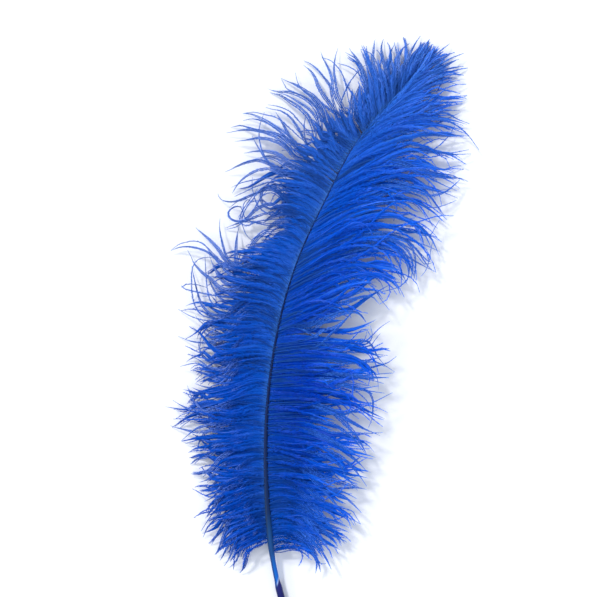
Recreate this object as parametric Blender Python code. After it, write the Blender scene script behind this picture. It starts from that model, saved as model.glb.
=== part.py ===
"""An ostrich feather lying on a flat surface: one grown piece, so one solid.

The quill and the shaft are one tapered tube that bows off the surface. Two vanes of
flat, drooping locks grow from it and are fused to it. The quill's cut end, the tip and
the ends of the left locks rest on z = 0; the right vane floats above it.

Metres, +Z up. +Y runs from the quill to the tip, and the origin is below the middle.
"""

import math
import random
from bisect import bisect_right

import bmesh
import bpy
from mathutils import Vector

MM = 0.001
NAME = "ostrich_feather"

# Driving dimensions, in millimetres and degrees.
# Middle of the shaft seen from above, from the quill's cut end to the tip.
SHAFT_ROUTE = [
    (-19.5, -182.0),
    (-25.5, -163.8),
    (-31.0, -136.0),
    (-33.6, -104.5),
    (-34.5, -73.5),
    (-33.2, -42.5),
    (-29.3, -11.5),
    (-22.6, 19.5),
    (-12.3, 50.0),
    (2.0, 80.5),
    (18.5, 112.5),
    (33.2, 131.8),
    (46.8, 146.0),
    (58.0, 158.4),
]
# (share of the shaft's length, height of its middle)
SHAFT_HEIGHT = [
    (0.00, 2.10),
    (0.06, 3.2),
    (0.15, 6.0),
    (0.30, 10.0),
    (0.50, 12.5),
    (0.70, 11.5),
    (0.85, 8.0),
    (0.95, 4.5),
    (1.00, 2.6),
]
# (share of the shaft's length, radius); the step at 0.07 is where the sheath ends.
SHAFT_RADIUS = [
    (0.00, 2.10),
    (0.065, 2.15),
    (0.078, 1.60),
    (0.11, 1.55),
    (0.14, 1.90),
    (0.18, 1.90),
    (0.25, 1.35),
    (0.40, 0.90),
    (0.50, 0.68),
    (0.60, 0.52),
    (0.80, 0.38),
    (1.00, 0.22),
]
# Course of the barbs at stations along each vane: (share of the shaft's length, length,
# heading at the root, at the middle and at the end), headings counted from +X to +Y.
LEFT_VANE = [
    (0.142, 28, 180, 220, 252),
    (0.165, 41, 182, 213, 244),
    (0.200, 46, 180, 206, 238),
    (0.241, 50, 174, 198, 228),
    (0.283, 46, 170, 186, 208),
    (0.326, 50, 166, 187, 204),
    (0.368, 60, 163, 186, 206),
    (0.402, 60, 158, 193, 178),
    (0.444, 53, 152, 188, 208),
    (0.479, 56, 146, 180, 200),
    (0.513, 61, 138, 178, 195),
    (0.557, 60, 132, 172, 192),
    (0.591, 62, 130, 171, 193),
    (0.614, 57, 131, 175, 184),
    (0.632, 46, 130, 175, 200),
    (0.650, 33, 130, 174, 222),
    (0.678, 33, 132, 176, 222),
    (0.705, 52, 134, 177, 202),
    (0.735, 58, 138, 175, 200),
    (0.762, 64, 142, 172, 190),
    (0.787, 67, 148, 164, 180),
    (0.806, 69, 152, 155, 168),
    (0.825, 66, 154, 142, 160),
    (0.841, 62, 154, 128, 152),
    (0.860, 58, 146, 116, 144),
    (0.877, 54, 134, 108, 135),
    (0.894, 51, 120, 104, 124),
    (0.917, 46, 106, 100, 118),
    (0.935, 41, 98, 96, 104),
    (0.954, 36, 91, 88, 92),
    (0.973, 32, 80, 72, 68),
    (1.000, 25, 66, 65, 66),
]
RIGHT_VANE = [
    (0.127, 38, 25, -10, -80),
    (0.150, 44, 24, -18, -70),
    (0.182, 54, 32, -22, -55),
    (0.216, 60, 26, -20, -48),
    (0.266, 64, 12, -12, -36),
    (0.320, 67, 6, -10, -40),
    (0.370, 71, 5, -6, -46),
    (0.420, 74, 5, -3, -44),
    (0.470, 76, 10, -5, -24),
    (0.493, 70, 13, -7, 8),
    (0.500, 62, 15, 20, -18),
    (0.530, 77, 19, 21, -48),
    (0.557, 89, 23, 18, -64),
    (0.600, 98, 26, 15, -76),
    (0.646, 98, 27, 11, -70),
    (0.693, 90, 31, 13, -56),
    (0.740, 88, 35, 15, -25),
    (0.787, 86, 37, 15, -22),
    (0.835, 78, 38, 20, -14),
    (0.870, 71, 38, 27, -4),
    (0.905, 62, 39, 32, 5),
    (0.935, 54, 41, 38, 16),
    (0.957, 47, 44, 43, 26),
    (0.980, 39, 48, 48, 40),
    (1.000, 27, 54, 57, 60),
]
# (share of the shaft's length, height of the barbs' ends): the left vane droops to the
# surface, and the right one floats, except beside the quill and the tip.
LEFT_END_HEIGHT = [(0.0, 0.0), (1.0, 0.0)]
RIGHT_END_HEIGHT = [(0.12, 3.0), (0.25, 8.0), (0.50, 10.0), (0.80, 8.0), (0.92, 4.0), (1.00, 0.0)]
# How far a barb arches above the line from its root to its end, and how late it droops.
VANE_CROWN = 2.5
VANE_DROOP_POWER = 1.6

LOCKS_PER_VANE = 38
LOCK_WIDTH = 10.5
LOCK_THICKNESS = 1.8
LOCK_ROLL = 16.0
LOCK_LIFT = 0.5
LOCK_STRETCH = (0.93, 1.06)
LOCK_TURN = (-3.0, 3.0)
LOCK_RINGS = 8
# (share of a lock's length, share of its full width and thickness)
LOCK_TAPER = [(0.0, 0.32), (0.2, 0.85), (0.45, 1.0), (0.7, 0.72), (0.88, 0.34), (1.0, 0.04)]
SHAFT_RINGS = 46

FEATHER_BLUE = (0.02, 0.10, 0.48, 1.0)
FEATHER_ROUGHNESS = 0.6


def between(rows, share):
    """The values of a table at one share, on straight lines between its rows."""
    i = min(max(bisect_right([row[0] for row in rows], share) - 1, 0), len(rows) - 2)
    low, high = rows[i], rows[i + 1]
    part = min(max((share - low[0]) / (high[0] - low[0]), 0.0), 1.0)
    return [a + (b - a) * part for a, b in zip(low[1:], high[1:])]


def smooth(rows, share):
    """The values of a table at one share, on a smooth curve through its rows."""

    def slope(i, k):
        low, high = rows[max(i - 1, 0)], rows[min(i + 1, len(rows) - 1)]
        return (high[k] - low[k]) / (high[0] - low[0])

    i = min(max(bisect_right([row[0] for row in rows], share) - 1, 0), len(rows) - 2)
    low, high = rows[i], rows[i + 1]
    step = high[0] - low[0]
    u = min(max((share - low[0]) / step, 0.0), 1.0)
    blend = 3 * u**2 - 2 * u**3
    return [
        low[k] * (1 - blend)
        + high[k] * blend
        + slope(i, k) * step * (u**3 - 2 * u**2 + u)
        + slope(i + 1, k) * step * (u**3 - u**2)
        for k in range(1, len(low))
    ]


def by_length(route):
    """The route's points, each with its share of the whole length in front."""
    lengths = [0.0]
    for a, b in zip(route, route[1:]):
        lengths.append(lengths[-1] + math.dist(a, b))
    return [(at / lengths[-1], *point) for at, point in zip(lengths, route)]


SHAFT = by_length(SHAFT_ROUTE)


def shaft_point(share):
    x, y = smooth(SHAFT, share)
    return Vector((x, y, smooth(SHAFT_HEIGHT, share)[0]))


def heading(root, middle, end, u):
    """Heading at share u of a barb's length, on a parabola through three headings."""
    return root * (1 - u) * (1 - 2 * u) + middle * 4 * u * (1 - u) + end * u * (2 * u - 1)


def barb_course(vane, share, end_height, steps, stretch=1.0, turn=0.0, lift=0.0):
    """Points of one barb or lock, from the shaft to its end, in millimetres."""
    length, root, middle, end = between(vane, share)
    step = length * stretch / steps
    start = shaft_point(share)
    points = [start]
    for i in range(steps):
        angle = math.radians(heading(root, middle, end, (i + 0.5) / steps) + turn)
        x = points[-1].x + step * math.cos(angle)
        y = points[-1].y + step * math.sin(angle)
        u = (i + 1) / steps
        droop = start.z + (end_height - start.z) * u**VANE_DROOP_POWER
        points.append(Vector((x, y, droop + (VANE_CROWN + lift) * math.sin(math.pi * u))))
    return points


def add_tube(name, points, radii, rolls, collection, profile=None):
    """A closed tube along the points, round or with the profile's section."""
    curve = bpy.data.curves.new(name, "CURVE")
    curve.dimensions = "3D"
    curve.twist_mode = "Z_UP"
    curve.use_fill_caps = True
    if profile:
        curve.bevel_mode = "OBJECT"
        curve.bevel_object = profile
    else:
        curve.bevel_depth = MM
        curve.bevel_resolution = 2
    spline = curve.splines.new("POLY")
    spline.points.add(len(points) - 1)
    for knot, point, radius, roll in zip(spline.points, points, radii, rolls):
        knot.co = (*(point * MM), 1.0)
        knot.radius = radius
        knot.tilt = roll
    tube = bpy.data.objects.new(name, curve)
    collection.objects.link(tube)
    return as_mesh(tube, collection)


def as_mesh(tube, collection):
    """The tube as a mesh object whose caps are welded to its wall."""
    bpy.context.view_layer.update()
    evaluated = tube.evaluated_get(bpy.context.evaluated_depsgraph_get())
    mesh = bpy.data.meshes.new_from_object(evaluated)
    solid = bpy.data.objects.new(tube.name, mesh)
    solid.matrix_world = tube.matrix_world
    bpy.data.objects.remove(tube)
    solid.name = mesh.name
    shape = bmesh.new()
    shape.from_mesh(mesh)
    bmesh.ops.remove_doubles(shape, verts=shape.verts, dist=0.01 * MM)
    bmesh.ops.recalc_face_normals(shape, faces=shape.faces)
    shape.to_mesh(mesh)
    shape.free()
    collection.objects.link(solid)
    return solid


def make_profile(collection):
    """The flat diamond section of a lock, at its full width and thickness."""
    curve = bpy.data.curves.new("lock_section", "CURVE")
    curve.dimensions = "2D"
    spline = curve.splines.new("POLY")
    corners = [
        (LOCK_WIDTH / 2, 0.0),
        (0.0, LOCK_THICKNESS / 2),
        (-LOCK_WIDTH / 2, 0.0),
        (0.0, -LOCK_THICKNESS / 2),
    ]
    spline.points.add(len(corners) - 1)
    for knot, (x, y) in zip(spline.points, corners):
        knot.co = (x * MM, y * MM, 0.0, 1.0)
    spline.use_cyclic_u = True
    profile = bpy.data.objects.new("lock_section", curve)
    profile.hide_render = True
    profile.display_type = "WIRE"
    collection.objects.link(profile)
    return profile


def make_shaft(collection):
    shares = [i / (SHAFT_RINGS - 1) for i in range(SHAFT_RINGS)]
    points = [shaft_point(share) for share in shares]
    radii = [between(SHAFT_RADIUS, share)[0] for share in shares]
    return add_tube(NAME, points, radii, [0.0] * SHAFT_RINGS, collection)


def make_lock(name, vane, share, end_height, side, layer, chance, profile, collection):
    """One lock of a vane: a flat blade that leaves the shaft and droops to its end."""
    points = barb_course(
        vane,
        share,
        end_height,
        LOCK_RINGS - 1,
        stretch=chance.uniform(*LOCK_STRETCH),
        turn=chance.uniform(*LOCK_TURN),
        lift=LOCK_LIFT * layer,
    )
    widths = [smooth(LOCK_TAPER, i / (LOCK_RINGS - 1))[0] for i in range(LOCK_RINGS)]
    roll = math.radians(LOCK_ROLL) * side
    for point, width in zip(points, widths):
        edge_drop = width * LOCK_WIDTH / 2 * math.sin(abs(roll))
        point.z = max(point.z, edge_drop + width * LOCK_THICKNESS / 2)
    lock = add_tube(name, points, widths, [roll] * LOCK_RINGS, collection, profile)
    lock.hide_render = True
    lock.display_type = "WIRE"
    return lock


def make_vane(name, vane, end_heights, side, profile, collection):
    chance = random.Random(name)
    first = vane[0][0]
    for i in range(LOCKS_PER_VANE):
        share = first + (1.0 - first) * i / (LOCKS_PER_VANE - 1)
        end_height = between(end_heights, share)[0]
        layer = (-1, 1)[i % 2]
        label = f"{name}_lock_{i + 1:02d}"
        make_lock(label, vane, share, end_height, side, layer, chance, profile, collection)


def make_material():
    material = bpy.data.materials.new("dyed_barbs")
    material.use_nodes = True
    shader = material.node_tree.nodes["Principled BSDF"]
    shader.inputs["Base Color"].default_value = FEATHER_BLUE
    shader.inputs["Roughness"].default_value = FEATHER_ROUGHNESS
    shader.inputs["Metallic"].default_value = 0.0
    return material


def main():
    for thing in list(bpy.data.objects):
        bpy.data.objects.remove(thing)
    feather_parts = bpy.data.collections.new("ostrich_feather")
    locks = bpy.data.collections.new("locks")
    for collection in (feather_parts, locks):
        bpy.context.scene.collection.children.link(collection)

    feather = make_shaft(feather_parts)
    profile = make_profile(feather_parts)
    make_vane("left", LEFT_VANE, LEFT_END_HEIGHT, 1, profile, locks)
    make_vane("right", RIGHT_VANE, RIGHT_END_HEIGHT, -1, profile, locks)

    fuse = feather.modifiers.new("fuse_locks", "BOOLEAN")
    fuse.operation = "UNION"
    fuse.operand_type = "COLLECTION"
    fuse.collection = locks
    fuse.solver = "EXACT"
    feather.data.materials.append(make_material())


main()
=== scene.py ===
"""Looks of a dyed ostrich feather that lies on a pale surface, seen from straight above.

The shaft and every barb follow the courses of the CAD solid: the first tables below are
its own driving dimensions, apart from the heights of the right barbs' ends. One to three
barbs cling together in a strand, with barbules on both sides and a web of the densest
ones below, and some strands meet in a point near their ends. Stray barbs that leave the
vanes are laid one by one.
"""

import math

import bpy
import numpy as np
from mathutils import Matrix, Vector


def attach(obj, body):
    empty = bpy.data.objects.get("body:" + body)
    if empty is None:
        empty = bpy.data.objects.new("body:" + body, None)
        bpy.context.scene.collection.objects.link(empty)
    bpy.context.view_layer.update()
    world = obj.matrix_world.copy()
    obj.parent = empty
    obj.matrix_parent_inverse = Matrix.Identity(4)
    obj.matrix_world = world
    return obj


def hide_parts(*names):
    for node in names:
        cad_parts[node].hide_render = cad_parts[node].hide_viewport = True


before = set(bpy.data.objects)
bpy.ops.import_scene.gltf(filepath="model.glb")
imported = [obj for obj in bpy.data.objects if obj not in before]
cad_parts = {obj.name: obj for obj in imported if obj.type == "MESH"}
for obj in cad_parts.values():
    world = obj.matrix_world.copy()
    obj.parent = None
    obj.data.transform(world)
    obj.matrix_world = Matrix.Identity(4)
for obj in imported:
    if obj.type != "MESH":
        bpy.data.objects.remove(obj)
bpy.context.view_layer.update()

MM = 0.001
NODE = "ostrich_feather"
BODY = "root"
UV_NAME = "OFBake"
UP = np.array([0.0, 0.0, 1.0])

# --- the CAD solid's driving dimensions, in millimetres and degrees -------------------
SHAFT_ROUTE = [
    (-19.5, -182.0),
    (-25.5, -163.8),
    (-31.0, -136.0),
    (-33.6, -104.5),
    (-34.5, -73.5),
    (-33.2, -42.5),
    (-29.3, -11.5),
    (-22.6, 19.5),
    (-12.3, 50.0),
    (2.0, 80.5),
    (18.5, 112.5),
    (33.2, 131.8),
    (46.8, 146.0),
    (58.0, 158.4),
]
# (share of the shaft's length, height of its middle)
SHAFT_HEIGHT = [
    (0.00, 2.10),
    (0.06, 3.2),
    (0.15, 6.0),
    (0.30, 10.0),
    (0.50, 12.5),
    (0.70, 11.5),
    (0.85, 8.0),
    (0.95, 4.5),
    (1.00, 2.6),
]
# (share of the shaft's length, radius); the step at 0.07 is where the sheath ends.
SHAFT_RADIUS = [
    (0.00, 2.10),
    (0.065, 2.15),
    (0.078, 1.60),
    (0.11, 1.55),
    (0.14, 1.90),
    (0.18, 1.90),
    (0.25, 1.35),
    (0.40, 0.90),
    (0.50, 0.68),
    (0.60, 0.52),
    (0.80, 0.38),
    (1.00, 0.22),
]
# Course of the barbs at stations along each vane: (share of the shaft's length, length,
# heading at the root, at the middle and at the end), headings counted from +X to +Y.
LEFT_VANE = [
    (0.142, 28, 180, 220, 252),
    (0.165, 41, 182, 213, 244),
    (0.200, 46, 180, 206, 238),
    (0.241, 50, 174, 198, 228),
    (0.283, 46, 170, 186, 208),
    (0.326, 50, 166, 187, 204),
    (0.368, 60, 163, 186, 206),
    (0.402, 60, 158, 193, 178),
    (0.444, 53, 152, 188, 208),
    (0.479, 56, 146, 180, 200),
    (0.513, 61, 138, 178, 195),
    (0.557, 60, 132, 172, 192),
    (0.591, 62, 130, 171, 193),
    (0.614, 57, 131, 175, 184),
    (0.632, 46, 130, 175, 200),
    (0.650, 33, 130, 174, 222),
    (0.678, 33, 132, 176, 222),
    (0.705, 52, 134, 177, 202),
    (0.735, 58, 138, 175, 200),
    (0.762, 64, 142, 172, 190),
    (0.787, 67, 148, 164, 180),
    (0.806, 69, 152, 155, 168),
    (0.825, 66, 154, 142, 160),
    (0.841, 62, 154, 128, 152),
    (0.860, 58, 146, 116, 144),
    (0.877, 54, 134, 108, 135),
    (0.894, 51, 120, 104, 124),
    (0.917, 46, 106, 100, 118),
    (0.935, 41, 98, 96, 104),
    (0.954, 36, 91, 88, 92),
    (0.973, 32, 80, 72, 68),
    (1.000, 25, 66, 65, 66),
]
RIGHT_VANE = [
    (0.127, 38, 25, -10, -80),
    (0.150, 44, 24, -18, -70),
    (0.182, 54, 32, -22, -55),
    (0.216, 60, 26, -20, -48),
    (0.266, 64, 12, -12, -36),
    (0.320, 67, 6, -10, -40),
    (0.370, 71, 5, -6, -46),
    (0.420, 74, 5, -3, -44),
    (0.470, 76, 10, -5, -24),
    (0.493, 70, 13, -7, 8),
    (0.500, 62, 15, 20, -18),
    (0.530, 77, 19, 21, -48),
    (0.557, 89, 23, 18, -64),
    (0.600, 98, 26, 15, -76),
    (0.646, 98, 27, 11, -70),
    (0.693, 90, 31, 13, -56),
    (0.740, 88, 35, 15, -25),
    (0.787, 86, 37, 15, -22),
    (0.835, 78, 38, 20, -14),
    (0.870, 71, 38, 27, -4),
    (0.905, 62, 39, 32, 5),
    (0.935, 54, 41, 38, 16),
    (0.957, 47, 44, 43, 26),
    (0.980, 39, 48, 48, 40),
    (1.000, 27, 54, 57, 60),
]
# (share of the shaft's length, height of the barbs' ends). Those on the right are the
# solid's own up to the middle of the shaft. Past it, they sink below its locks.
LEFT_END_HEIGHT = [(0.0, 0.0), (1.0, 0.0)]
RIGHT_END_HEIGHT = [
    (0.12, 3.0),
    (0.25, 8.0),
    (0.50, 10.0),
    (0.62, 5.0),
    (0.70, 2.5),
    (0.80, 1.0),
    (1.00, 0.0),
]
# How far the barbs arch up on their way, and how late they droop.
VANE_CROWN = 2.5
VANE_DROOP_POWER = 1.6

# --- strands and their barbs -----------------------------------------------------------
# Seeds of the random draws, for the vanes and for their strays.
VANE_SEEDS = {"left": 28, "right": 35}
STRAY_SEEDS = {"left": 3, "right": 4}
PARTS = ("lower", "middle", "upper")
LEFT_STRANDS = 240
RIGHT_STRANDS = 200
# The least, and one more than the most.
BARBS_PER_STRAND = (1, 4)
LOOSE_BARBS = 130
BARB_STEPS = 17
BARB_SIDES = 3
# How unruly the barbs are: (share of the shaft's length; how far they bend down and back
# again, sway, and hook of their ends in degrees; share of the strands that end early, the
# least and the most that those reach, and share of the strands that are there at all).
LEFT_HABIT = [
    (0.13, 0, 8, 26, 0.80, 0.60, 0.90, 0.4),
    (0.175, 4, 9, 29, 0.82, 0.60, 0.89, 1.0),
    (0.30, 14, 12, 40, 0.80, 0.60, 0.90, 1.0),
    (0.45, 18, 14, 50, 0.82, 0.60, 0.88, 1.0),
    (0.51, 14, 14, 50, 0.78, 0.62, 0.92, 1.0),
    (0.56, 10, 14, 50, 0.84, 0.58, 0.86, 1.0),
    (0.585, 8, 14, 52, 0.96, 0.48, 0.74, 1.0),
    (0.60, 6, 14, 50, 1.00, 0.44, 0.62, 1.0),
    (0.62, 4, 14, 48, 0.96, 0.48, 0.74, 1.0),
    (0.70, -4, 13, 45, 0.93, 0.46, 0.76, 1.0),
    (0.76, -12, 13, 36, 0.97, 0.36, 0.66, 0.9),
    (0.80, -22, 12, 30, 1.00, 0.24, 0.50, 0.8),
    (0.87, -14, 11, 28, 1.00, 0.26, 0.52, 0.9),
    (0.93, 0, 9, 20, 0.88, 0.40, 0.76, 1.0),
    (1.00, 0, 6, 12, 0.45, 0.60, 0.95, 1.0),
]
RIGHT_HABIT = [
    (0.12, 0, 8, 22, 0.75, 0.58, 0.90, 0.3),
    (0.17, -6, 9, 25, 0.77, 0.57, 0.89, 1.0),
    (0.30, -10, 12, 36, 0.80, 0.55, 0.88, 1.0),
    (0.45, -6, 13, 40, 0.80, 0.54, 0.88, 1.0),
    (0.62, 0, 11, 34, 0.70, 0.58, 0.90, 1.0),
    (0.735, 0, 10, 31, 0.74, 0.58, 0.89, 1.0),
    (0.76, 0, 10, 29, 0.93, 0.58, 0.82, 1.0),
    (0.80, 0, 10, 28, 0.93, 0.58, 0.82, 1.0),
    (0.82, 0, 10, 26, 0.76, 0.58, 0.88, 1.0),
    (0.92, 0, 7, 16, 0.70, 0.62, 0.92, 1.0),
    (0.955, 0, 6, 14, 1.00, 0.62, 0.88, 1.0),
    (0.98, 0, 5, 10, 1.00, 0.60, 0.80, 1.0),
    (1.00, 0, 4, 8, 0.80, 0.70, 0.98, 1.0),
]
# Below this share of present strands, the webs under them are left out.
WEB_NEEDS = 0.75
# The reach of the strands that don't end early.
FULL_REACH = (0.92, 1.06)
# Waves of the headings along a vane: (share of the shaft's length, degrees), how far they
# shift from a barb's root to its end, and the part of a barb over which they set in.
DRIFTS = [(0.13, 6.0), (0.052, 7.5), (0.023, 5.0)]
DRIFT_SHIFT = 0.5
DRIFT_PART = (0.25, 0.9)
# How many sways are added up along a barb, how many waves each has, the share of barbs
# that hook at the end, and the parts of a barb over which sways and hooks set in.
SWAYS = 2
SWAY_WAVES = (0.6, 1.8)
HOOKED_BARBS = 0.5
SWAY_PART = (0.1, 0.8)
HOOK_PART = (0.5, 1.0)
# How far strands start from their even places, against the gap between them, how far they
# lie above or below the vane, and how far their ends stay above its own.
STRAND_SHIFT = (0.0, 0.7)
STRAND_LIFT = 0.7
END_RISE = (0.0, 3.0)
# Neighbouring strands in a group (the least, and one more than the most), the share of
# groups that meet, and where they do.
GROUP_SIZES = (2, 6)
MEETING_GROUPS = 0.4
MEETING_POINT = 0.90
# Where groups begin to draw together, how closely those that meet and the others do, and
# how that changes past the meeting point.
GATHER_FROM = 0.6
MEETING_PULL = (0.6, 1.0)
OTHER_PULL = (0.0, 0.3)
PULL_BEYOND = (-0.7, 0.6)
# The barbs of a strand: how far they start from it, against the gap, their own sway, hook
# and lift, and their length against the strand's.
OWN_SHIFT = (-0.5, 0.5)
OWN_SWAY = 6.0
OWN_HOOK = 28.0
OWN_LIFT = 0.4
OWN_REACH = (0.88, 1.03)
# How closely they cling to it, how much of that they lose again, and where on the barb.
CLING = (0.7, 0.96)
CLING_PART = (0.0, 0.2)
LET_GO = (0.0, 0.45)
LET_GO_PART = (0.4, 0.95)
# Loose barbs: how they crowd towards the quill, how much longer they get than strands that
# end early, their turn and the part over which it sets in, how many times a strand's sway
# and hook they have, and how far they lie above the vane and end above its ends.
LOOSE_CROWDING = 1.05
LOOSE_EXTRA_REACH = 0.15
LOOSE_TURN = 6.0
LOOSE_TURN_PART = (0.0, 0.5)
LOOSE_SWAY = 1.5
LOOSE_HOOK = 1.4
LOOSE_LIFT = (0.8, 1.3)
LOOSE_RISE = (0.0, 6.0)

# (share of the barb's length, radius of the barb)
BARB_RADIUS = [
    (0.0, 0.20),
    (0.15, 0.25),
    (0.6, 0.27),
    (0.85, 0.25),
    (0.96, 0.17),
    (1.0, 0.06),
]
# The gap below the lowest barbs, and the least height of webs and barbules.
BARB_CLEARANCE = 0.05
LOWEST = 0.1
BARBULES_PER_MM = 4.2
FEWEST_BARBULES = 4
BARBULE_WIDTH = 0.26
# (share of the barb's length, length of its barbules, their angle to it)
BARBULES = [
    (0.0, 1.4, 45),
    (0.08, 2.6, 36),
    (0.45, 3.0, 32),
    (0.65, 2.7, 26),
    (0.85, 2.1, 18),
    (1.0, 1.2, 10),
]
# Middle and spread of their droop in degrees, and the spread of their tilt in radians.
BARBULE_DROOP = (18, 12.0)
BARBULE_TILT = 0.3
# Their lengths, angles and widths against those above, and how much of its angle each
# loses again halfway.
BARBULE_LENGTHS = (0.6, 1.15)
BARBULE_ANGLES = (0.6, 1.4)
BARBULE_WIDTHS = (0.7, 1.2)
BARBULE_CLOSING = (0.3, 0.8)
# (share of the strand's length, half the width of the web below it)
WEB_WIDTH = [
    (0.0, 0.8),
    (0.1, 1.1),
    (0.45, 1.6),
    (0.65, 1.5),
    (0.8, 0.9),
    (0.92, 0.3),
    (1.0, 0.02),
]
# How far a web's ridge lies below its strand, and how steeply its sides fall.
WEB_DROP = 0.6
WEB_FALL = 0.3

# --- what was read off the photograph, in its pixels -----------------------------------
PIXEL = 0.62
PHOTO_ORIGIN = (321.5, 331.5)
# Openings that the barbs go around: (x, y, half length, half width, heading of the length).
OPENINGS = [
    (355, 87, 8, 2.5, 107), (345, 103, 7, 2.5, 110), (346, 113, 8, 1.2, 100), (340, 84, 17, 3.5, 101),
    (353, 66, 9, 2, 95), (335.5, 103, 8, 2, 107), (324.5, 132, 13, 2, 103), (337, 137, 12, 2, 104),
    (308.5, 133, 12, 2, 97), (301, 128, 13, 2, 117), (283, 165, 7, 2.5, 150), (312, 158, 6, 1.5, 120),
    (271, 197, 9, 6.5, 170), (279, 212, 7, 2, 165), (254, 207, 10, 4, 175),
    (257, 219, 7, 1.5, 170), (258, 228, 8, 3, 10), (247, 265, 8, 2.5, 0), (205, 264, 9, 4, 0),
    (203, 281, 10, 4, 15), (212, 299, 10, 3, 15), (209, 354, 7, 3, 15),
    (204, 395, 8, 1.5, 10), (202, 444, 8, 1, 25), (206, 461, 9, 2, 10),
    (212, 475, 6, 2, 30), (223, 525, 5, 2.5, 50),
    (388, 242, 8, 2, 0), (406, 216, 7, 2.5, -35), (404, 229, 6, 2, -20), (415, 236, 7, 1, -60),
    (403, 254, 7, 1.5, -50), (404, 267, 9, 1.5, 95), (415, 207, 8, 2, -30),
    (440, 187, 9, 1.2, -10), (410, 182, 8, 2, -20), (341, 347, 9, 1, 0), (362, 356, 9, 2.5, 0),
    (355, 365, 8, 1.5, 0), (347, 375, 11, 1.5, -5), (331, 382, 6, 1.8, -15), (328, 395, 9, 1.5, -20),
    (360, 396, 10, 2.5, -35), (348, 411, 7, 2, -30), (340, 420, 6, 1.5, -55), (338, 437, 8, 1.2, -15),
    (309, 415, 7, 1, 20), (316, 423, 8, 1, -10), (303, 444, 7, 1, 10), (320, 450.5, 10, 1, 5),
    (331, 473, 8, 2.5, -20), (329, 497, 8, 2, -30), (311, 478, 10, 1, -10), (309, 488, 8, 1, -20),
    (349, 468, 8, 2, -60), (391, 70, 10, 1.5, 95), (403, 60, 7, 2, 60),
    (441, 147, 13, 3, 3), (441, 163, 14, 4, -3),
    (436, 91, 9, 2, 15), (437, 101, 8, 1.5, 5), (430, 112, 8, 1.5, 8),
    (418, 139, 8, 2, 12), (428, 152, 8, 1.5, -5), (412, 159, 7, 1.5, 5),
    (395, 180, 9, 1.5, 12), (427, 180, 8, 1.5, 0), (385, 197, 9, 1, 15),
    (372, 181, 9, 0.8, 25), (400, 142, 9, 0.8, 25), (408, 173, 8, 1.2, 5),
]
# How much more room they get, for the barbules.
BARBULE_ROOM = 1.0
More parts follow.
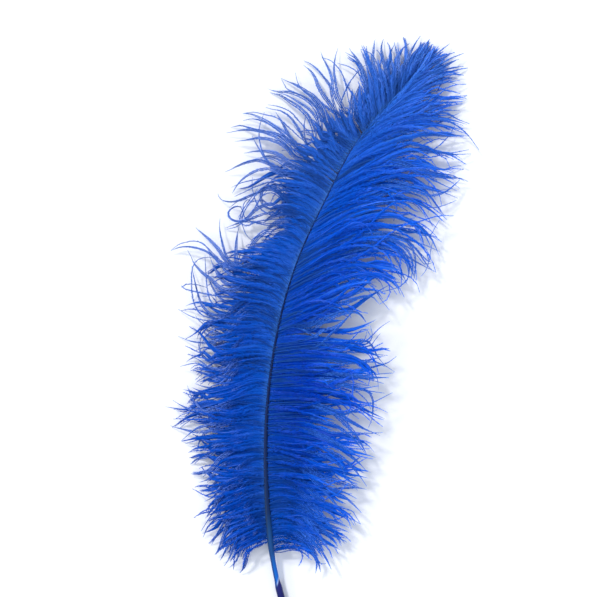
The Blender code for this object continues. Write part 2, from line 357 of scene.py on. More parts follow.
# Stray barbs: (share of the shaft's length, how many lie side by side, points on their way
# from the vane to their tips).
LEFT_STRAYS = [
    (0.150, 2, [(263, 538), (259, 542), (256, 547)]),
    (0.155, 2, [(262, 532), (257, 540), (253, 546)]),
    (0.155, 3, [(250, 538), (247, 555), (244, 567), (239.5, 574.5)]),
    (0.165, 3, [(260, 524), (254, 536), (251, 548)]),
    (0.175, 4, [(259, 518), (252, 532), (247, 549)]),
    (0.190, 4, [(257, 512), (249, 528), (243, 548)]),
    (0.200, 4, [(255, 507), (246, 524), (239, 545)]),
    (0.210, 4, [(254, 502), (243, 519), (235, 540)]),
    (0.222, 4, [(253, 497), (241, 513), (231, 535)]),
    (0.240, 4, [(251, 488), (238, 505), (226, 526)]),
    (0.255, 3, [(250, 480), (236, 497), (222, 516)]),
    (0.270, 3, [(249, 471), (234, 487), (218, 505)]),
    (0.290, 3, [(248, 460), (233, 473), (216, 492)]),
    (0.170, 2, [(246, 532), (241, 548), (236, 561), (230, 568)]),
    (0.180, 2, [(240, 528), (234, 545), (229, 558), (224, 567)]),
    (0.185, 3, [(236, 526), (229, 543), (224, 553), (219.5, 562)]),
    (0.200, 2, [(232, 517), (223, 536), (219, 547), (214.5, 556)]),
    (0.205, 2, [(230, 513), (221, 527), (216, 536), (211.5, 545)]),
    (0.225, 2, [(227, 503), (215, 519), (207, 528), (202.5, 538.5)]),
    (0.230, 1, [(226, 499), (213, 513), (205, 525), (200.5, 532.5)]),
    (0.245, 3, [(224, 491), (214, 506), (205, 519)]),
    (0.255, 2, [(224, 484), (213, 497), (204, 502.5)]),
    (0.270, 2, [(223, 475), (210, 487), (199, 487.3)]),
    (0.285, 2, [(222, 465), (209, 478.5), (199, 483)]),
    (0.300, 3, [(223, 456), (209, 470), (199, 472.7), (191, 474.5)]),
    (0.303, 1, [(223, 454), (210, 469), (202.5, 478)]),
    (0.315, 3, [(222, 444), (207, 455.5), (196, 460), (189.5, 465.5)]),
    (0.335, 2, [(216, 429), (198, 431.7), (184, 429.7), (170, 426.5)]),
    (0.343, 2, [(215, 427), (203, 435), (198.5, 443), (195.5, 452.5)]),
    (0.347, 2, [(214, 423), (199, 427), (190, 433), (181, 441)]),
    (0.365, 1, [(215, 412), (199, 415.5), (189, 421), (180, 428)]),
    (0.370, 3, [(216, 413), (201, 412), (191, 415.5), (180, 417.5)]),
    (0.375, 2, [(218, 410), (201, 411), (186, 407.5), (173, 401)]),
    (0.385, 1, [(222, 405), (206, 410), (196, 405), (185.5, 393)]),
    (0.390, 1, [(222, 403), (206, 409), (196, 403), (190, 394), (187, 386)]),
    (0.410, 1, [(224, 394), (210, 400), (202, 396.5), (194, 392)]),
    (0.430, 2, [(224, 387), (208, 387.3), (195, 384)]),
    (0.435, 1, [(222, 382), (211, 386.5), (203, 395), (195, 404)]),
    (0.440, 4, [(224, 378), (209, 375), (200, 371.5), (192, 370.5)]),
    (0.447, 4, [(228, 373), (213, 371.5), (204, 369.5), (197, 367.5)]),
    (0.455, 1, [(225, 369), (208, 366), (196, 363), (180, 366.5)]),
    (0.457, 1, [(226, 366), (211, 368.5), (202, 374), (194.5, 380.5)]),
    (0.462, 2, [(226, 369), (211, 368), (200, 360.5), (188, 354)]),
    (0.475, 3, [(224, 360), (210, 361), (201.5, 354), (198.5, 345), (199, 339.5)]),
    (0.494, 4, [(236, 346), (222, 345), (212, 343.5), (204, 340)]),
    (0.500, 2, [(224, 338), (206, 342.3), (192, 341.3), (178, 336.8)]),
    (0.503, 4, [(226, 340), (214, 338), (206, 334), (202, 328)]),
    (0.505, 2, [(224, 335), (209, 341), (204, 338), (200, 332)]),
    (0.508, 4, [(225, 335), (214, 333), (206, 329), (202, 323)]),
    (0.517, 4, [(225, 328), (213, 326), (205, 322), (200, 318)]),
    (0.526, 4, [(225, 322), (213, 318), (205, 313), (200, 310)]),
    (0.520, 1, [(222, 325), (207, 325), (199, 321), (195, 316)]),
    (0.530, 1, [(222, 319), (204, 320), (191, 316.3), (178, 309.5)]),
    (0.532, 1, [(224, 317), (205, 316), (197, 308), (193, 296), (192, 281), (192, 270),
                (196, 261), (205, 257), (213, 258)]),
    (0.537, 2, [(226, 314), (212, 314), (203, 306), (198, 294), (194.5, 281), (191, 267)]),
    (0.542, 1, [(228, 309), (213, 303.5), (208, 291), (206, 275), (204.5, 255)]),
    (0.548, 1, [(230, 297), (213, 295), (198, 292), (187, 289.5), (182.5, 287),
                (186, 284.3), (195, 284.3), (207, 287.5)]),
    (0.552, 2, [(233, 302), (221, 298.5), (213, 288), (209, 279), (208, 271)]),
    (0.560, 3, [(234, 291), (221, 288), (211, 279), (202, 272), (195, 264), (191, 256), (187, 250)]),
    (0.570, 3, [(240, 284), (229, 284.5), (220, 277), (214, 266), (209, 255)]),
    (0.575, 2, [(242, 278), (231, 275), (222, 266), (213, 256), (205, 245)]),
    (0.583, 2, [(240, 270), (226, 266.5), (215, 257.5), (206, 251), (197, 248),
                (188, 246.5), (179, 247), (171, 250)]),
    (0.587, 3, [(244, 270), (232, 267), (225, 259), (219, 250), (211, 241), (203, 234), (195, 227)]),
    (0.590, 1, [(240, 267), (226, 264), (217, 257), (209, 249), (202, 243),
                (194, 241), (186, 242), (178, 244.5), (171, 249.5)]),
    (0.595, 2, [(250, 267), (239, 267.5), (230, 261), (225, 252), (222, 241), (219.8, 230), (219.5, 219)]),
    (0.598, 1, [(252, 266), (243, 267), (238, 264), (239, 257), (242, 251)]),
    (0.602, 3, [(255, 264), (244, 267), (237, 262), (236, 252), (236.5, 240), (238.5, 227)]),
    (0.655, 3, [(268, 232), (259, 237), (251, 247), (244, 256), (238, 265)]),
    (0.668, 1, [(268, 226), (255, 223), (246, 222), (236, 221), (229, 217), (228, 211.5),
                (234, 207), (241, 206)]),
    (0.672, 4, [(290, 222), (280, 222), (271, 226), (264, 233)]),
    (0.675, 1, [(268, 224), (256, 223), (247, 226), (240.5, 223), (241, 214), (246, 205),
                (252, 196), (257, 188)]),
    (0.679, 4, [(292, 215), (281, 214), (271, 217), (263, 222)]),
    (0.680, 1, [(270, 220), (256, 222), (246, 219), (243, 211), (244, 203), (248, 199), (251, 202)]),
    (0.687, 2, [(268, 214), (256, 217.5), (246, 221), (237, 221.5), (230, 218), (228.5, 212.5),
                (233, 207.5), (240, 206.5), (242, 211), (238, 216)]),
    (0.690, 3, [(272, 205), (258, 208.5), (249, 216.5), (240, 222), (232, 224.5), (225, 227.5)]),
    (0.692, 4, [(295, 208), (285, 206), (276, 208), (267, 212)]),
    (0.694, 1, [(274, 194), (263, 196), (257, 205), (250, 214), (243, 221), (237, 226), (225, 229)]),
    (0.697, 1, [(277, 189), (268, 186), (260, 191), (253, 200), (246, 209),
                (242, 219), (244, 230), (248, 237), (254, 241.5)]),
    (0.700, 1, [(284, 211), (275, 216), (266, 213), (258, 206), (254, 196), (252, 186), (252, 177)]),
    (0.702, 2, [(281, 191), (272, 187.5), (264, 190), (261, 197), (263, 205), (270, 209),
                (278, 208), (283, 201)]),
    (0.704, 2, [(270, 188), (258, 193), (249, 196.5), (240, 200), (230, 201.5),
                (222, 199.5), (218.5, 196), (217, 192)]),
    (0.708, 1, [(270, 191), (257, 193.7), (243, 198), (235, 203), (229, 207.5)]),
    (0.722, 1, [(272, 183), (258, 186), (246, 191), (234, 196)]),
    (0.728, 1, [(270, 179), (255, 180), (242, 182.5), (232, 186.5)]),
    (0.735, 2, [(272, 170), (258, 170.5), (248, 175), (240, 181), (235, 187), (232, 192)]),
    (0.752, 3, [(282, 172), (270, 164.5), (258, 160.5), (246, 162.5), (235, 166.5), (225, 171)]),
    (0.758, 4, [(289, 167), (279, 160), (269, 156.5), (258, 157)]),
    (0.765, 3, [(291, 164), (279, 155), (266, 151), (254, 150.5), (244, 152)]),
    (0.768, 2, [(284, 176), (271, 166), (262, 153), (256, 143), (252, 135)]),
    (0.775, 1, [(284, 173), (272, 166), (263, 153), (259.5, 140), (259.5, 126), (264, 111)]),
    (0.783, 3, [(295, 158), (285, 147), (272, 140.5), (258, 138), (246, 139.3), (235, 140.5)]),
    (0.790, 3, [(297, 157), (288, 147), (277, 138), (263, 132), (248, 129.5), (236, 130), (226.5, 132)]),
    (0.795, 2, [(300, 152), (289, 142), (276, 134), (262, 131), (250, 127.5), (240, 124.5), (230.5, 126)]),
    (0.798, 2, [(300, 150), (288, 140), (276, 129), (264, 121.5), (252, 118), (243, 119.5)]),
    (0.800, 3, [(304, 152), (295, 143), (285, 134), (273, 125), (261, 117.5), (251, 113.3), (243, 112.5)]),
    (0.804, 1, [(303, 141), (290, 129), (277, 118), (264, 114), (253, 111.3), (243, 112)]),
    (0.810, 3, [(306, 155), (296, 146), (288, 134), (282, 122), (276, 112)]),
    (0.815, 2, [(312, 152), (305, 142), (299, 130), (291, 118), (281, 110.5), (273, 108.5), (266, 106.5)]),
    (0.818, 1, [(312, 154), (306, 142), (304, 128), (306, 113)]),
    (0.820, 1, [(312, 136), (300, 123), (290, 112), (279, 106.5), (268, 104)]),
    (0.833, 3, [(318, 142), (314, 130), (309, 118), (300, 108), (290, 101), (280, 94), (270, 91)]),
    (0.837, 2, [(321, 134), (317, 121), (309, 110), (298, 102), (286, 94.5), (275, 90.5)]),
    (0.840, 3, [(323, 138), (321, 124), (317, 111), (309, 101), (299, 95),
                (287, 91), (277, 90.3), (268, 87.5)]),
    (0.845, 1, [(331, 136), (322, 117), (310, 102), (297, 93), (287, 88), (284, 83), (281.5, 78)]),
    (0.847, 2, [(330, 130), (321, 111), (311, 97), (302, 89), (298, 82), (295.5, 72)]),
    (0.850, 3, [(334, 138), (328, 126), (323, 110), (315, 98), (306, 91), (296, 84), (288, 80), (281, 76.5)]),
    (0.857, 3, [(341, 123), (333, 109), (325, 98), (319, 88), (315, 77), (310, 69.5), (304, 64.5)]),
    (0.860, 2, [(343, 122), (336, 110), (332, 97), (330, 86), (324, 77), (317, 68), (310, 62), (304, 59)]),
    (0.862, 1, [(343, 116), (341, 104), (345, 92), (352, 79), (359, 70), (368, 62)]),
    (0.864, 4, [(351, 122), (351, 110), (352, 99), (353, 88)]),
    (0.870, 4, [(355, 119), (355, 108), (357, 96), (360, 84)]),
    (0.872, 2, [(345, 113), (337, 101), (333, 90), (332, 79), (328, 67), (323, 57), (321, 51)]),
    (0.875, 2, [(347, 114), (341, 103), (337, 92), (335, 80), (334, 68), (335.5, 57), (338, 47)]),
    (0.878, 1, [(352, 111), (348, 99), (346, 87), (342, 74), (335, 64), (329, 59), (322, 57)]),
    (0.885, 1, [(363, 104), (366, 92), (363, 80), (356, 71), (348, 65.5), (338, 62)]),
    (0.893, 2, [(367, 98), (367, 85), (364, 72), (357, 59), (346, 51)]),
    (0.896, 3, [(367, 98), (366, 84), (362, 70), (357, 58), (350, 47)]),
    (0.906, 2, [(373, 93), (371, 79), (367, 64), (361.5, 48)]),
    (0.911, 1, [(379, 92), (380, 78), (377, 63), (371, 53), (362, 48)]),
    (0.925, 3, [(383, 88), (377, 74), (373, 60), (374, 49), (375.5, 38)]),
    (0.931, 3, [(387, 84), (385.5, 70), (383, 58), (382, 47), (384, 37)]),
    (0.945, 2, [(397, 78), (398, 63), (397, 51), (395, 41)]),
    (0.950, 2, [(399, 76), (399.5, 62), (399, 51), (398.5, 40)]),
    (0.953, 2, [(395, 80), (391, 66), (390, 55), (395, 43)]),
    (0.957, 2, [(404, 70), (409, 56), (415, 44), (421, 34.5)]),
]
RIGHT_STRAYS = [
    (0.127, 1, [(281, 551.5), (293, 549), (303, 551.5), (311, 559)]),
    (0.128, 1, [(283, 548.5), (295, 546), (305, 549.5), (313, 557)]),
    (0.132, 3, [(283, 545), (296, 543), (307, 547), (316, 558)]),
    (0.138, 3, [(283, 541), (297, 540), (309, 545), (318, 556)]),
    (0.150, 2, [(284, 536), (297, 537), (308, 546), (316, 559)]),
    (0.160, 3, [(285, 531), (298, 536), (309, 546), (315, 560)]),
    (0.175, 3, [(284, 524), (298, 532), (309, 543), (317, 556)]),
    (0.190, 4, [(284, 514), (298, 523), (310, 536), (320, 551)]),
    (0.205, 4, [(285, 505), (299, 515), (311, 530), (323, 549)]),
    (0.220, 4, [(286, 498), (301, 510), (314, 527), (327, 545)]),
    (0.235, 4, [(287, 490), (303, 503), (317, 520), (331, 540)]),
    (0.250, 4, [(288, 481), (305, 495), (320, 512), (335, 532)]),
    (0.270, 4, [(290, 470), (307, 484), (323, 502), (338, 522)]),
    (0.290, 3, [(290, 458), (308, 472), (325, 490), (341, 510)]),
    (0.140, 2, [(300, 543), (312, 553), (316.5, 562), (315.7, 573.5)]),
    (0.148, 1, [(303, 541), (315, 555), (321, 563), (325.5, 563)]),
    (0.150, 2, [(302, 540), (313, 552), (318, 562), (320.5, 572)]),
    (0.165, 2, [(305, 535), (318, 546), (325, 556), (331, 568)]),
    (0.180, 3, [(308, 530), (324, 540), (339, 549)]),
    (0.190, 3, [(310, 525), (329, 533), (346, 541)]),
    (0.200, 4, [(313, 520), (332, 526), (348, 531)]),
    (0.210, 4, [(314, 515), (332, 519), (348, 526)]),
    (0.240, 1, [(322, 504), (338, 511), (350, 517), (360, 522.5)]),
    (0.245, 1, [(322, 499), (340, 506), (352, 510), (356, 516), (360, 522.5)]),
    (0.263, 2, [(325, 488), (342, 494), (353, 503), (361, 511.5)]),
    (0.266, 2, [(325, 485), (343, 490.5), (356, 497)]),
    (0.272, 2, [(325, 486), (345, 487), (357, 487), (366, 488.5)]),
    (0.285, 4, [(318, 474), (333, 479), (347, 483.5), (358, 486)]),
    (0.290, 1, [(328, 468), (343, 480), (350, 477), (356, 475.5)]),
    (0.300, 2, [(328, 456), (340, 465), (348, 478), (357, 488.5)]),
    (0.310, 3, [(328, 449), (345, 459), (356, 471), (366, 484.5)]),
    (0.335, 4, [(325, 436), (342, 448), (355, 459), (365, 469)]),
    (0.342, 4, [(318, 433), (334, 441), (348, 449), (360, 457)]),
    (0.347, 1, [(330, 430), (350, 431), (366, 431.7), (381, 431.3)]),
    (0.355, 2, [(333, 423), (349, 434), (359, 445), (366, 454)]),
    (0.362, 2, [(330, 409), (340, 413), (352, 422), (365, 428.5), (379, 434.3)]),
    (0.370, 3, [(326, 406), (340, 418), (352, 430), (360, 442), (366, 453)]),
    (0.372, 1, [(326, 411), (343, 413), (358, 407.5), (375, 400), (391, 392)]),
    (0.378, 4, [(316, 404), (334, 412), (352, 421), (368, 430)]),
    (0.385, 1, [(330, 408), (355, 411), (368, 411.5), (376, 409)]),
    (0.387, 1, [(326, 398), (340, 402), (350, 411), (358, 417.5)]),
    (0.408, 2, [(333, 383), (355, 387), (368, 391), (372, 399), (372, 411), (371, 419), (368.5, 426)]),
    (0.411, 1, [(330, 384), (346, 386), (358, 392), (367, 401), (370, 408)]),
    (0.415, 1, [(330, 383), (350, 387), (368, 390), (384, 392.5)]),
    (0.418, 4, [(328, 380), (343, 382), (357, 384), (369, 385)]),
    (0.421, 2, [(330, 379), (345, 384), (362, 387.5), (378, 385.3)]),
    (0.426, 2, [(330, 372), (350, 375), (366, 378.5), (382, 382.5)]),
    (0.431, 1, [(330, 371), (347, 373.5), (365, 374.5), (380, 373), (393, 372.3)]),
    (0.433, 3, [(330, 372), (350, 374), (370, 376.5), (388, 377)]),
    (0.436, 1, [(330, 365), (355, 362), (376, 361.5), (386, 366), (393, 370.5)]),
    (0.440, 2, [(328, 367), (345, 369.8), (362, 368.5), (378, 365), (388, 362), (395, 356.7)]),
    (0.450, 3, [(322, 357), (340, 361.2), (357, 361.5), (372, 359), (380, 357)]),
    (0.456, 1, [(325, 352.5), (345, 351.5), (362, 352), (376, 354), (387, 355)]),
    (0.461, 2, [(328, 347), (355, 347), (370, 345), (375, 339), (379, 334)]),
    (0.465, 2, [(325, 345), (350, 342), (366, 340.5), (372, 346), (377, 356), (383, 363.5)]),
    (0.467, 2, [(318, 346), (328, 336), (340, 325), (350, 314), (356, 308)]),
    (0.469, 2, [(325, 345), (350, 345), (367, 343), (372, 336), (370, 326.5)]),
    (0.471, 2, [(325, 344), (343, 344), (360, 343), (365, 338), (366, 332)]),
    (0.473, 1, [(325, 343), (345, 343), (362, 342), (371, 335.5), (379, 327.5), (388, 321.5)]),
    (0.477, 1, [(325, 341), (347, 341), (354, 336), (360, 330), (366, 329.5), (370, 336)]),
    (0.481, 2, [(313, 336), (323, 330), (335, 326), (344, 320), (352, 313)]),
    (0.500, 1, [(312, 334), (319, 338.5), (325, 344)]),
    (0.505, 4, [(308, 329), (324, 320), (341, 313), (354, 312), (360, 315), (365.5, 322)]),
    (0.512, 4, [(308, 324), (324, 315), (339, 310), (350, 309), (357, 311)]),
    (0.522, 4, [(310, 317), (328, 307), (346, 302), (361, 297), (371, 297), (378, 303)]),
    (0.532, 3, [(312, 311), (333, 300), (352, 294), (366, 290), (376, 292), (382, 299)]),
    (0.555, 1, [(346, 278), (360, 280), (373, 288), (380, 299), (388.5, 309.5)]),
    (0.572, 3, [(345, 268), (362, 270), (374, 277), (380, 283), (383, 289)]),
    (0.580, 3, [(345, 264), (365, 265), (380, 272), (394, 284.5)]),
    (0.590, 2, [(350, 257), (372, 254), (386, 261), (391, 271), (391.5, 280)]),
    (0.600, 2, [(350, 252), (372, 249), (386, 254), (392, 265), (398, 275), (405, 282)]),
    (0.602, 1, [(350, 251), (378, 247), (397, 252), (406, 264), (408, 276),
                (403, 284), (393, 289), (380, 291.8)]),
    (0.606, 2, [(350, 250), (375, 247), (390, 253), (398, 264), (403, 276), (407, 284)]),
    (0.611, 2, [(350, 247), (378, 243), (397, 247), (406, 256), (409, 268), (407, 281)]),
    (0.617, 2, [(355, 243), (380, 240), (398, 243), (409, 254), (412, 266), (411, 278)]),
    (0.620, 2, [(355, 242), (382, 242), (397, 250), (412, 260), (425, 267), (436, 272)]),
    (0.624, 2, [(355, 240), (382, 236), (400, 238), (411, 248), (415, 262), (413.5, 280)]),
    (0.626, 1, [(355, 240), (383, 239), (405, 246), (418, 257), (424, 264), (432.5, 262.5)]),
    (0.630, 2, [(355, 238), (385, 236), (404, 240), (415, 249), (423, 260), (429, 268), (433, 271)]),
    (0.632, 1, [(355, 238), (385, 236), (410, 241), (427, 246), (439, 251.3)]),
    (0.636, 1, [(355, 236), (388, 233), (410, 238), (424, 250), (428, 262), (425, 271), (421, 276)]),
    (0.640, 1, [(355, 235), (385, 234), (410, 244), (424, 258), (429, 262), (430, 252), (433, 240.5)]),
    (0.650, 1, [(360, 229), (388, 226), (408, 230), (422, 235.5), (430, 235.5), (434.5, 228), (439.5, 220)]),
    (0.654, 1, [(360, 228), (385, 225), (405, 226), (418, 226.5), (425, 226), (426, 228.5)]),
    (0.685, 1, [(360, 208), (385, 203), (403, 202), (414, 204.5), (424, 214.5)]),
    (0.695, 2, [(360, 201), (385, 194), (405, 193), (418, 196), (426, 202), (428.5, 212)]),
    (0.700, 1, [(360, 199), (385, 195), (408, 199), (423, 206), (434, 207.8), (446, 204.5), (456, 200.3)]),
    (0.720, 2, [(370, 188), (395, 187), (415, 192), (430, 196), (443, 193), (452, 187), (460, 179.5)]),
    (0.735, 2, [(365, 181), (390, 181), (410, 186), (430, 190), (446, 193.5), (457.5, 197.5)]),
    (0.760, 2, [(375, 168), (398, 166), (418, 173), (435, 181), (447, 186.5), (457, 190)]),
    (0.772, 3, [(375, 162), (398, 163), (416, 170), (432, 176), (448, 177.5), (460, 178.5), (468, 181)]),
    (0.777, 2, [(375, 160), (398, 160), (416, 167), (435, 173), (452, 175), (465, 180)]),
    (0.800, 1, [(390, 166), (412, 162), (428, 153), (441, 144), (450, 134), (456, 124)]),
    (0.840, 2, [(400, 150), (425, 152), (450, 153), (469, 149)]),
    (0.845, 2, [(400, 143), (418, 146), (436, 151.5), (453, 154.5), (470, 153.5)]),
    (0.865, 3, [(405, 133), (425, 134), (445, 135.5), (468, 135.3)]),
    (0.868, 2, [(405, 129), (425, 126), (440, 122), (450, 117), (459, 112.5)]),
    (0.872, 1, [(405, 122), (428, 119), (447, 121), (460, 128), (470, 137), (479, 148.5)]),
    (0.885, 2, [(408, 116), (430, 113), (447, 113.5), (458, 119), (469, 122.5)]),
    (0.895, 2, [(410, 113), (430, 109), (447, 110), (460, 109.5)]),
    (0.905, 3, [(415, 110), (436, 107), (449, 105), (457, 104)]),
    (0.910, 2, [(415, 106), (435, 103), (448, 102), (459, 100.5)]),
    (0.925, 1, [(415, 100), (432, 95), (443, 98.5), (452, 98.5), (456.5, 96)]),
    (0.935, 1, [(418, 95), (435, 91), (444, 88), (451, 85)]),
    (0.940, 1, [(420, 90), (438, 83), (448, 81.5), (457.5, 83.5)]),
    (0.950, 3, [(422, 87), (440, 79), (458, 76.5)]),
    (0.955, 2, [(424, 84), (442, 76), (453, 74), (462, 74.5)]),
    (0.965, 2, [(426, 78), (443, 70), (464, 65)]),
    (0.975, 3, [(428, 74), (444, 66), (459, 58)]),
    (0.980, 1, [(428, 71), (442, 63), (453, 57), (464, 52.5)]),
    (0.982, 3, [(425, 69), (438, 61), (450, 53.5)]),
    (0.985, 1, [(430, 59), (441, 50), (450, 42.5)]),
    (0.988, 3, [(424, 66), (434, 61), (441, 68), (442, 79), (438, 90)]),
    (0.990, 3, [(421, 67), (431, 56), (439.5, 47.5)]),
    (0.995, 4, [(419, 64), (427, 52), (433.5, 43)]),
    (1.000, 3, [(416, 65), (422, 53), (430, 38.5)]),
]
STRAY_STEPS = 32
# Points of the vane's own barb that a stray begins with, as far as they lie within this
# share of the way to its first point above.
SHARED_POINTS = (0, 3, 6)
SHARED_PART = 0.7
# How far apart the barbs of a stray strand lie, how evenly, and how soon they part.
STRAY_GAP = 0.95
STRAY_GAPS = (0.7, 1.3)
STRAY_PARTING = 0.7
# How far all but the first of them reach, how far they lie above the vane, and how far
# their ends stay up.
STRAY_REACH = (0.88, 0.99)
STRAY_LIFT = (0.4, 0.3)
STRAY_RISE = (0.0, 3.0)
# Share of a stray's length that is bare of barbules, inside the vane, how far before and
# after it the barbules reach no and full length, and their size against the others.
STRAY_HIDDEN = 0.35
STRAY_ONSET = (0.1, 0.3)
STRAY_DOWN = 0.8

# --- colours ---------------------------------------------------------------------------
# Colours of the barbs, partly their dye and partly painted light: the left vane's paler
# colours beside the shaft are a painted sheen on the side towards the light, the right
# vane's dark inner colours, darkest in its lower part, are painted shade on the side away
# from it, and its bright outer part and tip are painted light shining through the thin
# barbs. (share of the shaft's length, colour beside the shaft, in the inner part, at the
# middle, in the outer part and at the tip).
LEFT_DYE_AND_LIGHT = [
    (0.13, (0.030, 0.16, 0.60), (0.006, 0.090, 0.52), (0.001, 0.074, 0.52),
     (0.003, 0.095, 0.58), (0.04, 0.12, 0.52)),
    (0.40, (0.032, 0.18, 0.66), (0.005, 0.108, 0.60), (0.001, 0.068, 0.50),
     (0.001, 0.078, 0.50), (0.04, 0.11, 0.48)),
    (0.60, (0.060, 0.23, 0.72), (0.016, 0.155, 0.72), (0.003, 0.128, 0.74),
     (0.006, 0.125, 0.66), (0.07, 0.14, 0.52)),
    (0.80, (0.075, 0.25, 0.70), (0.034, 0.155, 0.62), (0.006, 0.090, 0.50),
     (0.014, 0.105, 0.52), (0.09, 0.16, 0.48)),
    (1.00, (0.060, 0.22, 0.68), (0.040, 0.170, 0.64), (0.040, 0.165, 0.64),
     (0.060, 0.190, 0.68), (0.11, 0.23, 0.62)),
]
RIGHT_DYE_AND_LIGHT = [
    (0.12, (0.008, 0.100, 0.52), (0.004, 0.092, 0.51), (0.002, 0.085, 0.56),
     (0.003, 0.150, 0.84), (0.02, 0.24, 0.98)),
    (0.35, (0.004, 0.052, 0.42), (0.001, 0.033, 0.37), (0.001, 0.031, 0.41),
     (0.002, 0.120, 0.84), (0.01, 0.21, 1.00)),
    (0.60, (0.006, 0.118, 0.72), (0.001, 0.095, 0.70), (0.001, 0.106, 0.86),
     (0.003, 0.172, 1.00), (0.02, 0.24, 1.00)),
    (0.80, (0.014, 0.130, 0.60), (0.006, 0.112, 0.58), (0.005, 0.115, 0.62),
     (0.016, 0.195, 0.92), (0.05, 0.26, 0.98)),
    (1.00, (0.038, 0.180, 0.64), (0.036, 0.172, 0.63), (0.045, 0.195, 0.70),
     (0.065, 0.215, 0.79), (0.09, 0.25, 0.82)),
]
# Where those five colours lie, in shares of a barb's length.
COLOURS_AT = (0.025, 0.09, 0.45, 0.85, 1.0)
# Colours mixed into the barbs in streaks and more towards their ends: a painted highlight on the fibres,
# where light catches them and shines through their thin ends.
PAINTED_HIGHLIGHT = (0.32, 0.46, 0.88)
# The strays' barbules: painted light that shines through their thin down, pale on the left and bright blue on
# the right.
PAINTED_DOWN_GLOW = (0.48, 0.62, 0.95)
DOWN_HIGHLIGHT = (0.18, 0.40, 1.0)
# How bright each part is against the colours above, how much of the painted highlight
# colour it takes at the least and the most, how many highlight streaks there are to a barb,
# and the highlight colour.
BARB_LOOK = (1.0, 0.0, 0.50, 0.30, PAINTED_HIGHLIGHT)
BARBULE_LOOK = (1.0, 0.0, 0.34, 0.16, PAINTED_HIGHLIGHT)
# The webs are painted darker than the barbs, as shade in the gaps between the strands.
WEB_LOOK = (0.85, 0.0, 0.0, 0.13, PAINTED_HIGHLIGHT)
STRAY_BARB_LOOK = (0.7, 0.0, 0.10, 0.13, PAINTED_HIGHLIGHT)
# The strays' barbules are painted lighter than the barbs, as light shining through them.
LEFT_DOWN_LOOK = (1.1, 0.35, 0.75, 0.13, PAINTED_DOWN_GLOW)
RIGHT_DOWN_LOOK = (1.1, 0.20, 0.70, 0.20, DOWN_HIGHLIGHT)
# The noise behind the random shades and the painted highlight streaks, how often it changes
# along a barb, the shades at its low and high values, and the values at which the streaks
# set in and are palest.
BARB_NOISE = {"Scale": 1.0, "Detail": 4.0, "Roughness": 0.75}
STREAKS_ALONG_BARB = 2.2
SHADED_NOISE = (0.3, 0.7)
UNEVEN = (0.80, 1.20)
STREAKS = (0.50, 0.72)
# How much of the painted highlight shows at the barbs' roots and at their ends, where more
# light shines through the thin barbs, and the part of a barb over which it changes.
HIGHLIGHT_OUTWARD = (0.3, 1.5)
HIGHLIGHT_PART = (0.35, 0.95)
SHEEN_TINT = (0.25, 0.45, 1.0)
# Colours along the shaft, on its right and on its left, where one turns into the other (0
# in the middle, 1 at the left edge), and how far the edge of the torn sheath slants: its
# share of the shaft's length, from the middle to one side.
SHAFT_TURN = (0.1, 0.5)
SHAFT_RIGHT = [
    (0.0, (0.010, 0.010, 0.08)),
    (0.035, (0.014, 0.016, 0.11)),
    (0.0715, (0.020, 0.024, 0.17)),
    # A painted glint at the torn edge of the sheath.
    (0.0725, (0.40, 0.52, 0.78)),
    (0.0755, (0.30, 0.44, 0.74)),
    (0.077, (0.010, 0.15, 0.62)),
    (0.105, (0.010, 0.13, 0.50)),
    (0.125, (0.014, 0.080, 0.26)),
    (0.16, (0.010, 0.070, 0.22)),
    (0.20, (0.006, 0.025, 0.10)),
    (0.40, (0.004, 0.014, 0.070)),
    (0.60, (0.002, 0.012, 0.075)),
    (1.0, (0.003, 0.025, 0.20)),
]
SHAFT_LEFT = [
    (0.0, (0.006, 0.008, 0.06)),
    (0.072, (0.010, 0.016, 0.11)),
    (0.076, (0.004, 0.055, 0.24)),
    (0.11, (0.006, 0.055, 0.22)),
    # The greyish colours here are a painted highlight on the side towards the light.
    (0.15, (0.012, 0.055, 0.16)),
    (0.20, (0.016, 0.036, 0.085)),
    (0.30, (0.006, 0.022, 0.095)),
    (0.60, (0.002, 0.012, 0.075)),
    (1.0, (0.003, 0.025, 0.20)),
]
SHEATH_SLANT = 0.0085
SHAFT_SIDES = 20
SHAFT_RINGS = 220

# --- the photograph's view, in metres, and its light -----------------------------------
CAMERA_HEIGHT = 0.70
VIEW_WIDTH = 0.380
VIEW_MIDDLE = (-0.0093, 0.0205)
PLUME_HEIGHT = 0.006
SENSOR_WIDTH = 36.0
FLOOR_SIZE = 12.0
FLOOR_COLOUR = (0.96, 0.96, 0.96)
SKY_COLOUR = (0.76, 0.83, 0.97)
SKY_STRENGTH = 0.89
# Soft daylight: (name, where it comes from, strength, colour, how wide its source looks,
# in degrees).
WINDOWS = [
    ("window_above_left", (-0.62, 0.78, 0.70), 2.1, (1.0, 0.98, 0.98), 8.0),
    ("window_left", (-0.99, -0.16, 0.55), 0.5, (1.0, 0.97, 0.92), 9.0),
]


def between(rows, shares):
    """The values of a table at some shares, on straight lines between its rows."""
    table = np.array(rows, float)
    return np.stack([np.interp(shares, table[:, 0], values) for values in table[:, 1:].T], -1)


def smooth(rows, shares):
    """The values of a table at some shares, on a smooth curve through its rows."""
    table = np.array(rows, float)
    at, values = table[:, 0], table[:, 1:]
    every = np.arange(len(at))
    before, after = np.maximum(every - 1, 0), np.minimum(every + 1, len(at) - 1)
    slopes = (values[after] - values[before]) / (at[after] - at[before])[:, None]
    low = np.clip(np.searchsorted(at, shares, side="right") - 1, 0, len(at) - 2)
    step = (at[low + 1] - at[low])[..., None]
    u = np.clip((shares - at[low])[..., None] / step, 0.0, 1.0)
    blend = 3 * u**2 - 2 * u**3
    return (
        values[low] * (1 - blend)
        + values[low + 1] * blend
        + slopes[low] * step * (u**3 - 2 * u**2 + u)
        + slopes[low + 1] * step * (u**3 - u**2)
    )


